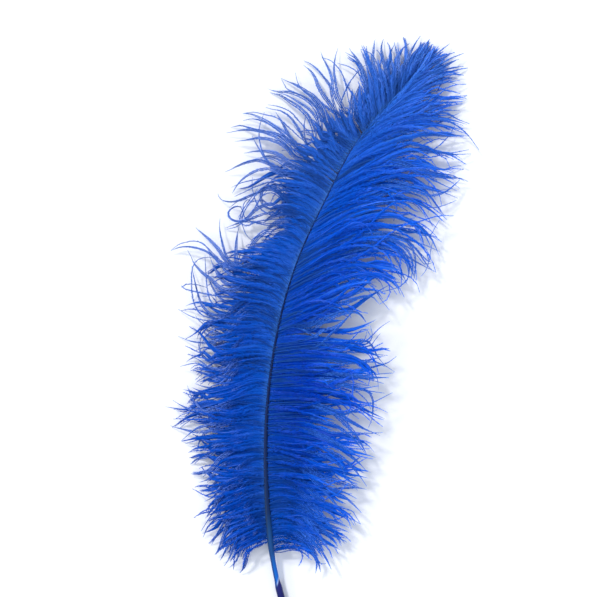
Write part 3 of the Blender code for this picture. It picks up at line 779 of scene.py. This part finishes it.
def by_length(route):
    """The route's points, each with its share of the whole length in front."""
    points = np.array(route, float)
    lengths = np.concatenate([[0.0], np.cumsum(np.linalg.norm(np.diff(points, axis=0), axis=1))])
    return np.column_stack([lengths / lengths[-1], points])


SHAFT = by_length(SHAFT_ROUTE)


def shaft_points(shares):
    return np.concatenate([smooth(SHAFT, shares), smooth(SHAFT_HEIGHT, shares)], -1)


def unit(vectors):
    return vectors / np.maximum(np.linalg.norm(vectors, axis=-1, keepdims=True), 1e-9)


def ease(values, low, high):
    """0 below low, 1 above high and a smooth rise between them."""
    u = np.clip((values - low) / (high - low), 0.0, 1.0)
    return u * u * (3 - 2 * u)


# --- courses of the barbs --------------------------------------------------------------
# Shares of a barb's length at its points, and at the middles of its steps.
POINT_AT = np.linspace(0.0, 1.0, BARB_STEPS + 1)
STEP_AT = (POINT_AT[1:] + POINT_AT[:-1]) / 2


def lay(shares, course, end_height, bend, lift):
    """Points of barbs, (barbs, steps + 1, 3) in millimetres, from the shaft to their ends.

    A row of course is a barb's length and its headings at the root, the middle and the
    end. bend is added to the heading step by step.
    """
    length, root, middle, end = course.T[..., None]
    u = STEP_AT
    heading = root * (1 - u) * (1 - 2 * u) + middle * 4 * u * (1 - u) + end * u * (2 * u - 1)
    heading = np.radians(heading + bend)
    strides = np.stack([np.cos(heading), np.sin(heading)], -1) * length[..., None] / BARB_STEPS
    start = shaft_points(shares)[:, None]
    xy = np.concatenate([start[..., :2], start[..., :2] + np.cumsum(strides, axis=1)], 1)
    z = start[..., 2] + (end_height[:, None] - start[..., 2]) * POINT_AT**VANE_DROOP_POWER
    z = z + (VANE_CROWN + lift[:, None]) * np.sin(math.pi * POINT_AT)
    return np.concatenate([xy, z[..., None]], -1)


def lay_vane(vane, end_heights, shares, reach, bend, lift, rise):
    """Barbs of a vane at some shares; reach scales their lengths, rise lifts their ends."""
    course = between(vane, shares)
    course[:, 0] *= reach
    return lay(shares, course, between(end_heights, shares)[:, 0] + rise, bend, lift)


def bends(rng, sweep, sway, hook):
    """Headings added along barbs: a sweep there and back, slow sways, and a hook at the end
    of some of them."""
    count = len(sway)
    there_and_back = sweep[:, None] * np.sin(2 * math.pi * STEP_AT)
    phase = rng.uniform(0, 2 * math.pi, (count, SWAYS, 1))
    waves = rng.uniform(*SWAY_WAVES, (count, SWAYS, 1))
    size = rng.normal(0, 1, (count, SWAYS, 1)) * sway[:, None, None]
    slow = (size * np.sin(2 * math.pi * waves * STEP_AT + phase)).sum(1)
    turning = rng.normal(0, 1, (count, 1)) * hook[:, None]
    turning = turning * (rng.random((count, 1)) < HOOKED_BARBS)
    slow, turning = slow * ease(STEP_AT, *SWAY_PART), turning * ease(STEP_AT, *HOOK_PART)
    return there_and_back + slow + turning


def drift(rng, shares):
    """Headings added to the outer part of a vane, which change slowly from strand to strand."""
    added = np.zeros((len(shares), BARB_STEPS))
    for period, size in DRIFTS:
        phase = rng.uniform(0, 2 * math.pi)
        waves = shares[:, None] / period + DRIFT_SHIFT * STEP_AT
        added += size * np.sin(2 * math.pi * waves + phase)
    return added * ease(STEP_AT, *DRIFT_PART)


def gather(rng, strands):
    """Draws groups of strands together, many of them to a point where they meet and cross."""
    count = len(strands)
    group = np.repeat(np.arange(count), rng.integers(*GROUP_SIZES, count))[:count]
    groups = group.max() + 1
    middles = np.zeros((groups, *strands.shape[1:]))
    np.add.at(middles, group, strands)
    middles /= np.bincount(group)[:, None, None]
    meets = rng.random(groups) < MEETING_GROUPS
    pull = np.where(meets, rng.uniform(*MEETING_PULL, groups), rng.uniform(*OTHER_PULL, groups))
    beyond = rng.uniform(*PULL_BEYOND, groups)
    weight = pull[:, None] * ease(POINT_AT, GATHER_FROM, MEETING_POINT)
    weight += beyond[:, None] * ease(POINT_AT, MEETING_POINT, 1.0)
    return strands + (middles[group] - strands) * weight[group][..., None]


def along(paths, part):
    """The paths cut to a part of their length, with as many points as before."""
    at = POINT_AT * part[:, None] * BARB_STEPS
    low = np.minimum(at.astype(int), BARB_STEPS - 1)
    rest = (at - low)[..., None]
    row = np.arange(len(paths))[:, None]
    return paths[row, low] * (1 - rest) + paths[row, low + 1] * rest


def grow_loose(rng, vane, end_heights, habit):
    """Barbs of a vane that belong to no strand and wander over the others."""
    first, count = vane[0][0], LOOSE_BARBS
    shares = first + (1 - first) * rng.random(count) ** LOOSE_CROWDING
    shares.sort()
    sweep, sway, hook, _, least, most, _ = between(habit, shares).T
    reach = rng.uniform(least, most + LOOSE_EXTRA_REACH, count)
    turn = rng.normal(0.0, LOOSE_TURN, (count, 1)) * ease(STEP_AT, *LOOSE_TURN_PART)
    bend = drift(rng, shares) + bends(rng, sweep, LOOSE_SWAY * sway, LOOSE_HOOK * hook) + turn
    lift, rise = rng.normal(*LOOSE_LIFT, count), rng.uniform(*LOOSE_RISE, count)
    return lay_vane(vane, end_heights, shares, reach, bend, lift, rise)


def grow_vane(rng, vane, end_heights, habit, count):
    """Middles of a vane's strands, and the barbs that cling to them."""
    first = vane[0][0]
    gap = (1 - first) / count
    at = first + gap * (np.arange(count) + rng.uniform(*STRAND_SHIFT, count))
    sweep, sway, hook, short, least, most, kept = between(habit, at).T
    bend = drift(rng, at) + bends(rng, sweep, sway, hook)
    lift = rng.normal(0.0, STRAND_LIFT, count)
    rise = rng.uniform(*END_RISE, count)
    whole = gather(rng, lay_vane(vane, end_heights, at, 1.0, bend, lift, rise))
    early = rng.random(count) < short
    reach = np.where(early, rng.uniform(least, most), rng.uniform(*FULL_REACH, count))

    strand = np.repeat(np.arange(count), rng.integers(*BARBS_PER_STRAND, count))
    total = len(strand)
    shares = np.clip(at[strand] + gap * rng.uniform(*OWN_SHIFT, total), first, 1.0)
    own_sway, own_hook = np.full(total, OWN_SWAY), np.full(total, OWN_HOOK)
    own_bend = bend[strand] + bends(rng, np.zeros(total), own_sway, own_hook)
    own_lift = lift[strand] + rng.normal(0.0, OWN_LIFT, total)
    part = reach[strand] * rng.uniform(*OWN_REACH, total)
    barbs = lay_vane(vane, end_heights, shares, 1.0, own_bend, own_lift, rise[strand])
    barbs = along(barbs, part)
    cling = rng.uniform(*CLING, (total, 1)) * ease(POINT_AT, *CLING_PART)
    cling *= 1 - rng.uniform(*LET_GO, (total, 1)) * ease(POINT_AT, *LET_GO_PART)
    barbs += (along(whole[strand], part) - barbs) * cling[..., None]
    loose = grow_loose(rng, vane, end_heights, habit)
    stays = rng.random(count) < kept
    barbs = np.concatenate([barbs[stays[strand]], loose])
    barbs = barbs[np.argsort(barbs[:, 0, 1], kind="stable")]
    webbed = stays & (kept > WEB_NEEDS)
    return make_way(along(whole, reach)[webbed]), make_way(barbs)


def from_photo(pixels):
    """Points of the photograph in millimetres."""
    return (np.array(pixels, float) - PHOTO_ORIGIN) * (PIXEL, -PIXEL)


def make_way(paths):
    """The paths, bent sideways around the vanes' openings."""
    for x, y, length, width, heading in OPENINGS:
        ahead = np.array([math.cos(math.radians(heading)), math.sin(math.radians(heading))])
        side = np.array([-ahead[1], ahead[0]])
        offset = paths[..., :2] - from_photo((x, y))
        at, away = offset @ ahead / (length * PIXEL), offset @ side
        room = (width * PIXEL + BARBULE_ROOM) * np.maximum(1 - at**2, 0.0)
        moved = np.where(away < 0, -1.0, 1.0) * np.cbrt(np.abs(away) ** 3 + room**3)
        paths[..., :2] += (moved - away)[..., None] * side
    return paths


def trace_strays(rng, vane, end_heights, strays):
    """Stray barbs: they start like the vane's own barbs and go on through their points."""
    at = np.linspace(0.0, 1.0, STRAY_STEPS + 1)
    paths = []
    for share, count, pixels in strays:
        course = lay_vane(vane, end_heights, np.array([share]), 1.0, 0.0, np.zeros(1), 0.0)[0]
        way = from_photo(pixels)
        far = SHARED_PART * np.linalg.norm(way[0] - course[0, :2])
        shared = [course[i] for i in SHARED_POINTS]
        start = [point[:2] for point in shared if np.linalg.norm(point - course[0]) < far]
        route = by_length(np.vstack([*start, way]))
        end_height = course[-1, 2] + rng.uniform(*STRAY_RISE)
        for number in range(count):
            shares = at * (1.0 if number == 0 else rng.uniform(*STRAY_REACH))
            line = smooth(route, shares)
            ahead = unit(np.gradient(line, axis=0))
            offset = STRAY_GAP * (number - (count - 1) / 2) * rng.uniform(*STRAY_GAPS)
            offset = offset * np.sin(math.pi * at)[:, None] ** STRAY_PARTING
            line = line + np.stack([ahead[:, 1], -ahead[:, 0]], -1) * offset
            z = course[0, 2] + (end_height - course[0, 2]) * shares**VANE_DROOP_POWER
            z = z + VANE_CROWN * np.sin(math.pi * shares) + rng.normal(*STRAY_LIFT)
            paths.append(np.column_stack([line, z]))
    return np.array(paths)


# --- meshes ----------------------------------------------------------------------------
# The part of its row of the UV map that a tube or a web takes up, and where in its barb's
# row a barbule may lie.
ROW_MARGIN = 0.1
ROW_WIDTH = 0.8
BARBULE_PLACES = (0.25, 0.75)
# Corners of a quad's two triangles, for tubes and for webs.
TUBE_CORNERS = [0, 2, 1, 0, 3, 2]
WEB_CORNERS = [0, 1, 2, 0, 2, 3]
# Corners of a kite's two triangles, and where its corners lie in the UV map, along its barb
# and across it.
KITE_CORNERS = np.array([[0, 2, 1], [1, 2, 3]])
KITE_U = np.array([-0.01, 0.0, 0.0, 0.01])
KITE_V = np.array([0.0, -0.2, 0.2, 0.0])


def build_mesh(name, points, triangles, uvs, material):
    """A mesh object from arrays: points in millimetres, triangles and a UV for each corner."""
    mesh = bpy.data.meshes.new(name)
    mesh.vertices.add(len(points))
    mesh.vertices.foreach_set("co", (points * MM).astype(np.float32).ravel())
    mesh.loops.add(triangles.size)
    mesh.loops.foreach_set("vertex_index", triangles.astype(np.int32).ravel())
    mesh.polygons.add(len(triangles))
    mesh.polygons.foreach_set("loop_start", np.arange(0, triangles.size, 3, dtype=np.int32))
    mesh.update(calc_edges=True)
    layer = mesh.uv_layers.new(name=UV_NAME)
    layer.uv.foreach_set("vector", uvs.astype(np.float32).ravel())
    mesh.shade_smooth()
    mesh.materials.append(material)
    piece = bpy.data.objects.new(name, mesh)
    bpy.context.scene.collection.objects.link(piece)
    return piece


def add_piece(name, mesh, material):
    piece = build_mesh(name, *mesh, material)
    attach(piece, BODY)
    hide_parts(NODE)


def strip_mesh(points, sides, corners):
    """Strips of quads on rings of points (strips, rings, points of a ring, 3), each laid on
    its own row of the UV map."""
    count, rings, around = points.shape[:3]
    ring, side = np.meshgrid(np.arange(rings - 1), np.arange(sides), indexing="ij")
    ring, side = ring.ravel(), side.ravel()
    after = (side + 1) % around
    quads = np.stack(
        [
            ring * around + side,
            ring * around + after,
            (ring + 1) * around + after,
            (ring + 1) * around + side,
        ],
        -1,
    )
    faces = quads[:, corners].reshape(-1, 3)
    triangles = (faces + (np.arange(count) * rings * around)[:, None, None]).reshape(-1, 3)
    near, far = ring / (rings - 1), (ring + 1) / (rings - 1)
    low = ROW_MARGIN + ROW_WIDTH * side / sides
    high = ROW_MARGIN + ROW_WIDTH * (side + 1) / sides
    corner_u = np.stack([near, near, far, far], -1)[:, corners].ravel()
    corner_v = np.stack([low, high, high, low], -1)[:, corners].ravel()
    u = np.broadcast_to(corner_u, (count, corner_u.size))
    v = (np.arange(count)[:, None] + corner_v) / count
    return points.reshape(-1, 3), triangles, np.stack([u, v], -1).reshape(-1, 2)


def tube_mesh(paths, radii, sides):
    """Tubes along paths (tubes, points, 3)."""
    ahead = unit(np.gradient(paths, axis=1))
    across = unit(np.cross(ahead, UP))
    above = np.cross(across, ahead)
    turn = np.linspace(0, 2 * math.pi, sides, endpoint=False) + math.pi / 2
    round_about = (
        across[:, :, None] * np.cos(turn)[:, None] + above[:, :, None] * np.sin(turn)[:, None]
    )
    points = paths[:, :, None] + round_about * radii[:, :, None, None]
    return strip_mesh(points, sides, TUBE_CORNERS)


def close_ends(points, triangles, uvs, sides):
    """A single tube's mesh with flat ends added, each on vertices of its own."""
    fan = np.stack([np.zeros(sides - 2, int), np.arange(1, sides - 1), np.arange(2, sides)], -1)
    ends = len(points) + np.vstack([fan, sides + fan[:, ::-1]])
    flat = np.repeat([[0.0, 0.5], [1.0, 0.5]], 3 * (sides - 2), axis=0)
    points = np.vstack([points, points[:sides], points[-sides:]])
    return points, np.vstack([triangles, ends]), np.vstack([uvs, flat])


def web_mesh(strands):
    """A roof-shaped web below each strand."""
    across = unit(np.cross(unit(np.gradient(strands, axis=1)), UP))
    half = between(WEB_WIDTH, POINT_AT)[None]
    ridge = strands - UP * WEB_DROP
    fall = UP * WEB_FALL * half
    points = np.stack([ridge - across * half - fall, ridge, ridge + across * half - fall], 2)
    points[..., 2] = np.maximum(points[..., 2], LOWEST)
    return strip_mesh(points, points.shape[2] - 1, WEB_CORNERS)


def kite_mesh(root, bend_at, tip, half, u, v, row_count):
    """Flat kites, widest at their bends; u and v say where each lies in the UV map's rows."""
    points = np.stack([root, bend_at - half, bend_at + half, tip], 1)
    points[..., 2] = np.maximum(points[..., 2], LOWEST)
    starts = np.arange(len(root)) * points.shape[1]
    triangles = (KITE_CORNERS + starts[:, None, None]).reshape(-1, 3)
    corner_u = np.clip(u[:, None] + KITE_U, 0.0, 1.0)
    corner_v = (v[:, None] + KITE_V) / row_count
    uvs = np.stack([corner_u, corner_v], -1)[:, KITE_CORNERS].reshape(-1, 2)
    return points.reshape(-1, 3), triangles, uvs


def barbule_mesh(rng, barbs, bare=0.0):
    """Barbules on both sides of the barbs, sloping down from them like a roof.

    bare is the share of each barb's length, from its root, that has none.
    """
    steps = barbs.shape[1] - 1
    lengths = np.linalg.norm(np.diff(barbs, axis=1), axis=-1).sum(1) * (1 - bare)
    numbers = np.maximum((lengths * BARBULES_PER_MM).astype(int), FEWEST_BARBULES)
    barb = np.repeat(np.arange(len(barbs)), numbers)
    total = len(barb)
    u = bare + (1 - bare) * rng.random(total)
    at = u * steps
    low = np.minimum(at.astype(int), steps - 1)
    rest = (at - low)[:, None]
    root = barbs[barb, low] * (1 - rest) + barbs[barb, low + 1] * rest
    ahead = unit(barbs[barb, low + 1] - barbs[barb, low])
    across = unit(np.cross(ahead, UP))
    side = np.where(rng.random(total) < 0.5, 1.0, -1.0)[:, None]
    droop = np.radians(rng.normal(*BARBULE_DROOP, (total, 1)))
    out = across * side * np.cos(droop) - np.cross(across, ahead) * np.sin(droop)
    size, angle = between(BARBULES, u).T[..., None]
    size = size * rng.uniform(*BARBULE_LENGTHS, (total, 1))
    if bare:
        before, after = STRAY_ONSET
        size = size * STRAY_DOWN * ease(u, bare - before, bare + after)[:, None]
    spread = np.radians(angle * rng.uniform(*BARBULE_ANGLES, (total, 1)))
    closing = spread * rng.uniform(*BARBULE_CLOSING, (total, 1))
    first = ahead * np.cos(spread) + out * np.sin(spread)
    last = ahead * np.cos(spread - closing) + out * np.sin(spread - closing)
    bend_at = root + first * size * 0.5
    tip = bend_at + last * size * 0.5
    wide = out * np.cos(spread) - ahead * np.sin(spread)
    tilt = rng.normal(0, BARBULE_TILT, (total, 1))
    wide = wide * np.cos(tilt) + np.cross(wide, first) * np.sin(tilt)
    half = wide * BARBULE_WIDTH / 2 * rng.uniform(*BARBULE_WIDTHS, (total, 1))
    v = barb + rng.uniform(*BARBULE_PLACES, total)
    return kite_mesh(root, bend_at, tip, half, u, v, len(barbs))


def barb_mesh(barbs):
    at = np.linspace(0.0, 1.0, barbs.shape[1])
    radii = np.broadcast_to(between(BARB_RADIUS, at)[:, 0], barbs.shape[:2])
    barbs = barbs.copy()
    barbs[..., 2] = np.maximum(barbs[..., 2], radii + BARB_CLEARANCE)
    return tube_mesh(barbs, radii, BARB_SIDES)


# --- materials -------------------------------------------------------------------------
def new_material(name, roughness, sheen, specular):
    material = bpy.data.materials.new(name)
    material.use_nodes = True
    shader = material.node_tree.nodes["Principled BSDF"]
    shader.inputs["Roughness"].default_value = roughness
    shader.inputs["Sheen Weight"].default_value = sheen
    shader.inputs["Sheen Tint"].default_value = (*SHEEN_TINT, 1.0)
    shader.inputs["Specular IOR Level"].default_value = specular
    return material, material.node_tree, shader


def uv_socket(tree):
    uv = tree.nodes.new("ShaderNodeUVMap")
    uv.uv_map = UV_NAME
    return uv.outputs["UV"]


def split_uv(tree):
    split = tree.nodes.new("ShaderNodeSeparateXYZ")
    tree.links.new(uv_socket(tree), split.inputs["Vector"])
    return split.outputs["X"], split.outputs["Y"]


def ramp(tree, factor, stops):
    """A colour ramp with (position, colour) stops, driven by factor."""
    node = tree.nodes.new("ShaderNodeValToRGB")
    elements = node.color_ramp.elements
    while len(elements) < len(stops):
        elements.new(0.5)
    for element, (position, colour) in zip(elements, stops):
        element.position = position
        element.color = (*colour, 1.0)
    tree.links.new(factor, node.inputs["Fac"])
    return node.outputs["Color"]


def dye_and_light_at(dye_and_light, share, brightness):
    """Colours along the barbs of a vane at a share of the shaft's length."""
    colours = between([np.hstack(row) for row in dye_and_light], share).reshape(-1, 3)
    return np.minimum(colours * brightness, 1.0)


def mix_colours(tree, factor, first, second):
    """A mix of two colours, each a socket or three numbers."""
    mix = tree.nodes.new("ShaderNodeMix")
    mix.data_type = "RGBA"
    tree.links.new(factor, mix.inputs["Factor"])
    sockets = [socket for socket in mix.inputs if socket.type == "RGBA"]
    for socket, colour in zip(sockets, (first, second)):
        if isinstance(colour, tuple):
            socket.default_value = (*colour, 1.0)
        else:
            tree.links.new(colour, socket)
    return [socket for socket in mix.outputs if socket.type == "RGBA"][0]


def map_range(tree, value, from_range, to_range):
    node = tree.nodes.new("ShaderNodeMapRange")
    for name, numbers in (("From", from_range), ("To", to_range)):
        for end, number in zip(("Min", "Max"), numbers):
            node.inputs[f"{name} {end}"].default_value = number
    tree.links.new(value, node.inputs["Value"])
    return node.outputs["Result"]


def barb_material(name, dye_and_light, low, high, rows, look):
    """Barbs in dye and painted light: colours along each barb (U) and along the shaft (V),
    uneven from one barb to the next, with streaks of painted highlight that grow towards
    the ends."""
    material, tree, shader = new_material(name, roughness=0.6, sheen=0.06, specular=0.0)
    brightness, *paleness, streaks_per_barb, highlight_colour = look
    along_barb, along_shaft = split_uv(tree)
    ends = []
    for share in (low, high):
        ends.append(ramp(tree, along_barb, list(zip(COLOURS_AT, dye_and_light_at(dye_and_light, share, brightness)))))
    mixed = mix_colours(tree, along_shaft, *ends)

    stretch = tree.nodes.new("ShaderNodeVectorMath")
    stretch.operation = "MULTIPLY"
    stretch.inputs[1].default_value = (STREAKS_ALONG_BARB, rows * streaks_per_barb, 0.0)
    tree.links.new(uv_socket(tree), stretch.inputs[0])
    noise = tree.nodes.new("ShaderNodeTexNoise")
    for setting, number in BARB_NOISE.items():
        noise.inputs[setting].default_value = number
    tree.links.new(stretch.outputs["Vector"], noise.inputs["Vector"])
    uneven = tree.nodes.new("ShaderNodeHueSaturation")
    shade = map_range(tree, noise.outputs["Fac"], SHADED_NOISE, UNEVEN)
    tree.links.new(shade, uneven.inputs["Value"])
    tree.links.new(mixed, uneven.inputs["Color"])
    # Streaks of painted highlight, which grow towards the barbs' ends.
    streaks = map_range(tree, noise.outputs["Fac"], STREAKS, paleness)
    outward = tree.nodes.new("ShaderNodeMath")
    outward.operation = "MULTIPLY"
    tree.links.new(streaks, outward.inputs[0])
    tree.links.new(map_range(tree, along_barb, HIGHLIGHT_PART, HIGHLIGHT_OUTWARD), outward.inputs[1])
    pale = mix_colours(tree, outward.outputs[0], uneven.outputs["Color"], highlight_colour)
    tree.links.new(pale, shader.inputs["Base Color"])
    return material


def shaft_material():
    """Dyed keratin, darker on the left, with a painted grey highlight on the left of the lower
    shaft; the sheath's torn edge slants across the quill, with a painted glint beside it.
    """
    name = "shaft_keratin"
    material, tree, shader = new_material(name, roughness=0.35, sheen=0.0, specular=0.12)
    along_shaft, around = split_uv(tree)
    # 1 at the left edge and -1 at the right one.
    leftness = tree.nodes.new("ShaderNodeMath")
    leftness.operation = "SINE"
    row = (ROW_MARGIN, ROW_MARGIN + ROW_WIDTH)
    tree.links.new(map_range(tree, around, row, (0.0, 2 * math.pi)), leftness.inputs[0])
    slanted = tree.nodes.new("ShaderNodeMath")
    slanted.operation = "MULTIPLY_ADD"
    slanted.inputs[1].default_value = SHEATH_SLANT
    tree.links.new(leftness.outputs[0], slanted.inputs[0])
    tree.links.new(along_shaft, slanted.inputs[2])
    ends = [ramp(tree, slanted.outputs[0], stops) for stops in (SHAFT_RIGHT, SHAFT_LEFT)]
    split = map_range(tree, leftness.outputs[0], SHAFT_TURN, (0.0, 1.0))
    tree.links.new(mix_colours(tree, split, *ends), shader.inputs["Base Color"])
    return material


# --- the scene -------------------------------------------------------------------------
def make_floor():
    bpy.ops.mesh.primitive_plane_add(size=FLOOR_SIZE, location=(0, 0, 0))
    floor = bpy.context.object
    floor.name = "floor"
    material, _, shader = new_material("pale_floor", roughness=0.7, sheen=0.0, specular=0.2)
    shader.inputs["Base Color"].default_value = (*FLOOR_COLOUR, 1.0)
    floor.data.materials.append(material)


def make_camera():
    camera = bpy.data.objects.new("camera", bpy.data.cameras.new("camera"))
    camera.location = (*VIEW_MIDDLE, CAMERA_HEIGHT)
    camera.data.sensor_width = SENSOR_WIDTH
    camera.data.lens = SENSOR_WIDTH * (CAMERA_HEIGHT - PLUME_HEIGHT) / VIEW_WIDTH
    bpy.context.scene.collection.objects.link(camera)
    bpy.context.scene.camera = camera


def make_lights():
    world = bpy.data.worlds.new("studio")
    world.use_nodes = True
    background = world.node_tree.nodes["Background"]
    background.inputs["Color"].default_value = (*SKY_COLOUR, 1.0)
    background.inputs["Strength"].default_value = SKY_STRENGTH
    bpy.context.scene.world = world
    bpy.context.scene.view_settings.view_transform = "Standard"
    for window in WINDOWS:
        add_window(*window)


def add_window(name, towards, strength, colour, angle):
    lamp = bpy.data.lights.new(name, "SUN")
    lamp.energy = strength
    lamp.color = colour
    lamp.angle = math.radians(angle)
    window = bpy.data.objects.new(name, lamp)
    window.rotation_euler = Vector(towards).to_track_quat("Z", "Y").to_euler()
    bpy.context.scene.collection.objects.link(window)


def make_shaft():
    shares = np.linspace(0.0, 1.0, SHAFT_RINGS)
    radii = between(SHAFT_RADIUS, shares).T
    mesh = tube_mesh(shaft_points(shares)[None], radii, SHAFT_SIDES)
    mesh = close_ends(*mesh, SHAFT_SIDES)
    add_piece("quill_and_shaft", mesh, shaft_material())


def make_strays(side, vane, end_heights, strays, dye_and_light, down_look):
    rng = np.random.default_rng(STRAY_SEEDS[side])
    barbs = trace_strays(rng, vane, end_heights, strays)
    for kind, mesh, look in (
        ("stray_barbs", barb_mesh(barbs), STRAY_BARB_LOOK),
        ("stray_barbules", barbule_mesh(rng, barbs, STRAY_HIDDEN), down_look),
    ):
        name = f"{side}_{kind}"
        add_piece(name, mesh, barb_material(name, dye_and_light, strays[0][0], 1.0, len(barbs), look))


def make_vane(side, vane, end_heights, habit, count, dye_and_light):
    rng = np.random.default_rng(VANE_SEEDS[side])
    strands, barbs = grow_vane(rng, vane, end_heights, habit, count)
    first = vane[0][0]
    webs = barb_material(f"{side}_webs", dye_and_light, first, 1.0, len(strands), WEB_LOOK)
    add_piece(f"{side}_webs", web_mesh(strands), webs)
    number = len(PARTS)
    for i, (part, some) in enumerate(zip(PARTS, np.array_split(barbs, number))):
        low, high = first + (1 - first) * i / number, first + (1 - first) * (i + 1) / number
        for kind, mesh, look in (
            ("barbs", barb_mesh(some), BARB_LOOK),
            ("barbules", barbule_mesh(rng, some), BARBULE_LOOK),
        ):
            name = f"{side}_{kind}_{part}"
            add_piece(name, mesh, barb_material(name, dye_and_light, low, high, len(some), look))


def main():
    make_camera()
    make_lights()
    make_floor()
    make_shaft()
    left = ("left", LEFT_VANE, LEFT_END_HEIGHT)
    right = ("right", RIGHT_VANE, RIGHT_END_HEIGHT)
    make_vane(*left, LEFT_HABIT, LEFT_STRANDS, LEFT_DYE_AND_LIGHT)
    make_vane(*right, RIGHT_HABIT, RIGHT_STRANDS, RIGHT_DYE_AND_LIGHT)
    make_strays(*left, LEFT_STRAYS, LEFT_DYE_AND_LIGHT, LEFT_DOWN_LOOK)
    make_strays(*right, RIGHT_STRAYS, RIGHT_DYE_AND_LIGHT, RIGHT_DOWN_LOOK)


main()
